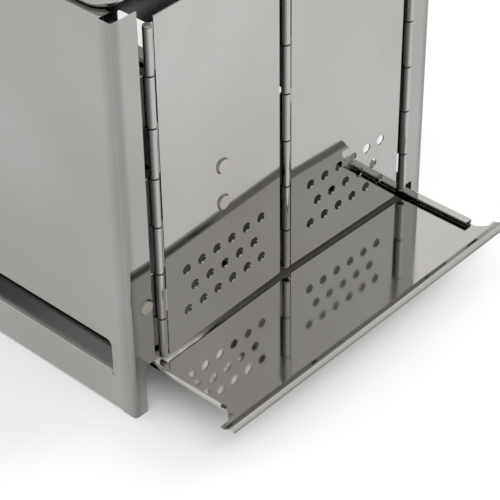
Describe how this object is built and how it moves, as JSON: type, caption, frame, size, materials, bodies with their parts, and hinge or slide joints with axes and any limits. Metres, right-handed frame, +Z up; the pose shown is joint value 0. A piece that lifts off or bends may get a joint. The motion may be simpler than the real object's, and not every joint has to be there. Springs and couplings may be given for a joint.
{
  "type": "folding wood grill",
  "caption": "Folding box grill of stainless sheet: hinged half walls with air holes between two windowed end panels, a pull-out ash tray below, and a rod grate on top.",
  "frame": {"origin": "on the ground, under the middle of the whole outline: halfway across the width, and halfway between the front edge of the ash tray and the hinges of the back wall", "axes": "+Z up; -Y towards the front, where the ash tray sticks out; +X to the right seen from the front, so the end panels stand at -X and +X"},
  "size_m": [0.32, 0.4531, 0.3263],
  "materials": {
    "sheet_steel": "bright rolled stainless sheet",
    "tray_steel": "bright rolled stainless sheet",
    "rivet_steel": "satin",
    "wire_steel": "polished wire"
  },
  "bodies": {
    "left_end": {"end_panel_left": "sheet_steel", "pin_front_left": "rivet_steel", "pin_back_left": "rivet_steel", "tray_stop_front": "sheet_steel", "corner_rivet_front": "rivet_steel"},
    "front_leaf_left": {"front_wall_left": "sheet_steel", "wall_hook_front": "sheet_steel", "wall_rivets_front": "rivet_steel", "pin_front_middle": "rivet_steel"},
    "front_leaf_right": {"front_wall_right": "sheet_steel"},
    "right_end": {"end_panel_right": "sheet_steel", "pin_front_right": "rivet_steel", "pin_back_right": "rivet_steel", "tray_stop_back": "sheet_steel", "corner_rivet_back": "rivet_steel"},
    "back_leaf_left": {"back_wall_left": "sheet_steel"},
    "back_leaf_right": {"back_wall_right": "sheet_steel", "wall_hook_back": "sheet_steel", "wall_rivets_back": "rivet_steel", "pin_back_middle": "rivet_steel"},
    "grate": {"cooking_frame": "wire_steel", "cooking_rods": "wire_steel"},
    "tray": {"ash_tray": "tray_steel", "fire_grate": "sheet_steel"}
  },
  "joints": [
    {"name": "fold", "type": "hinge", "parent": "left_end", "child": "front_leaf_left", "pos_m": [-0.13196, -0.1406, 0.176], "axis": [0, 0, 1], "range_deg": [0, 84]},
    {"name": "front_middle", "type": "hinge", "parent": "front_leaf_left", "child": "front_leaf_right", "pos_m": [0, -0.13737, 0.176], "axis": [0, 0, 1], "range_deg": [-168, 0]},
    {"name": "front_right", "type": "hinge", "parent": "front_leaf_right", "child": "right_end", "pos_m": [0.13196, -0.1406, 0.176], "axis": [0, 0, 1], "range_deg": [0, 84]},
    {"name": "back_left", "type": "hinge", "parent": "left_end", "child": "back_leaf_left", "pos_m": [-0.13196, 0.2234, 0.176], "axis": [0, 0, 1], "range_deg": [-84, 0]},
    {"name": "back_middle", "type": "hinge", "parent": "back_leaf_left", "child": "back_leaf_right", "pos_m": [0, 0.22018, 0.176], "axis": [0, 0, 1], "range_deg": [0, 168]},
    {"name": "clear_away", "type": "slide", "parent": "left_end", "child": "grate", "axis": [-0.0158, -0.9999, 0], "range_m": [0, 1.9058]},
    {"name": "tray_pull", "type": "slide", "parent": "grate", "child": "tray", "axis": [0, -1, 0], "range_m": [0, 0.25]}
  ],
  "couplings": [
    {"joint": "fold", "follows": "clear_away", "rad_per_m": 0.76923},
    {"joint": "front_middle", "follows": "clear_away", "rad_per_m": -1.5385},
    {"joint": "front_right", "follows": "clear_away", "rad_per_m": 0.76923},
    {"joint": "back_left", "follows": "clear_away", "rad_per_m": -0.76923},
    {"joint": "back_middle", "follows": "clear_away", "rad_per_m": 1.5385}
  ]
}
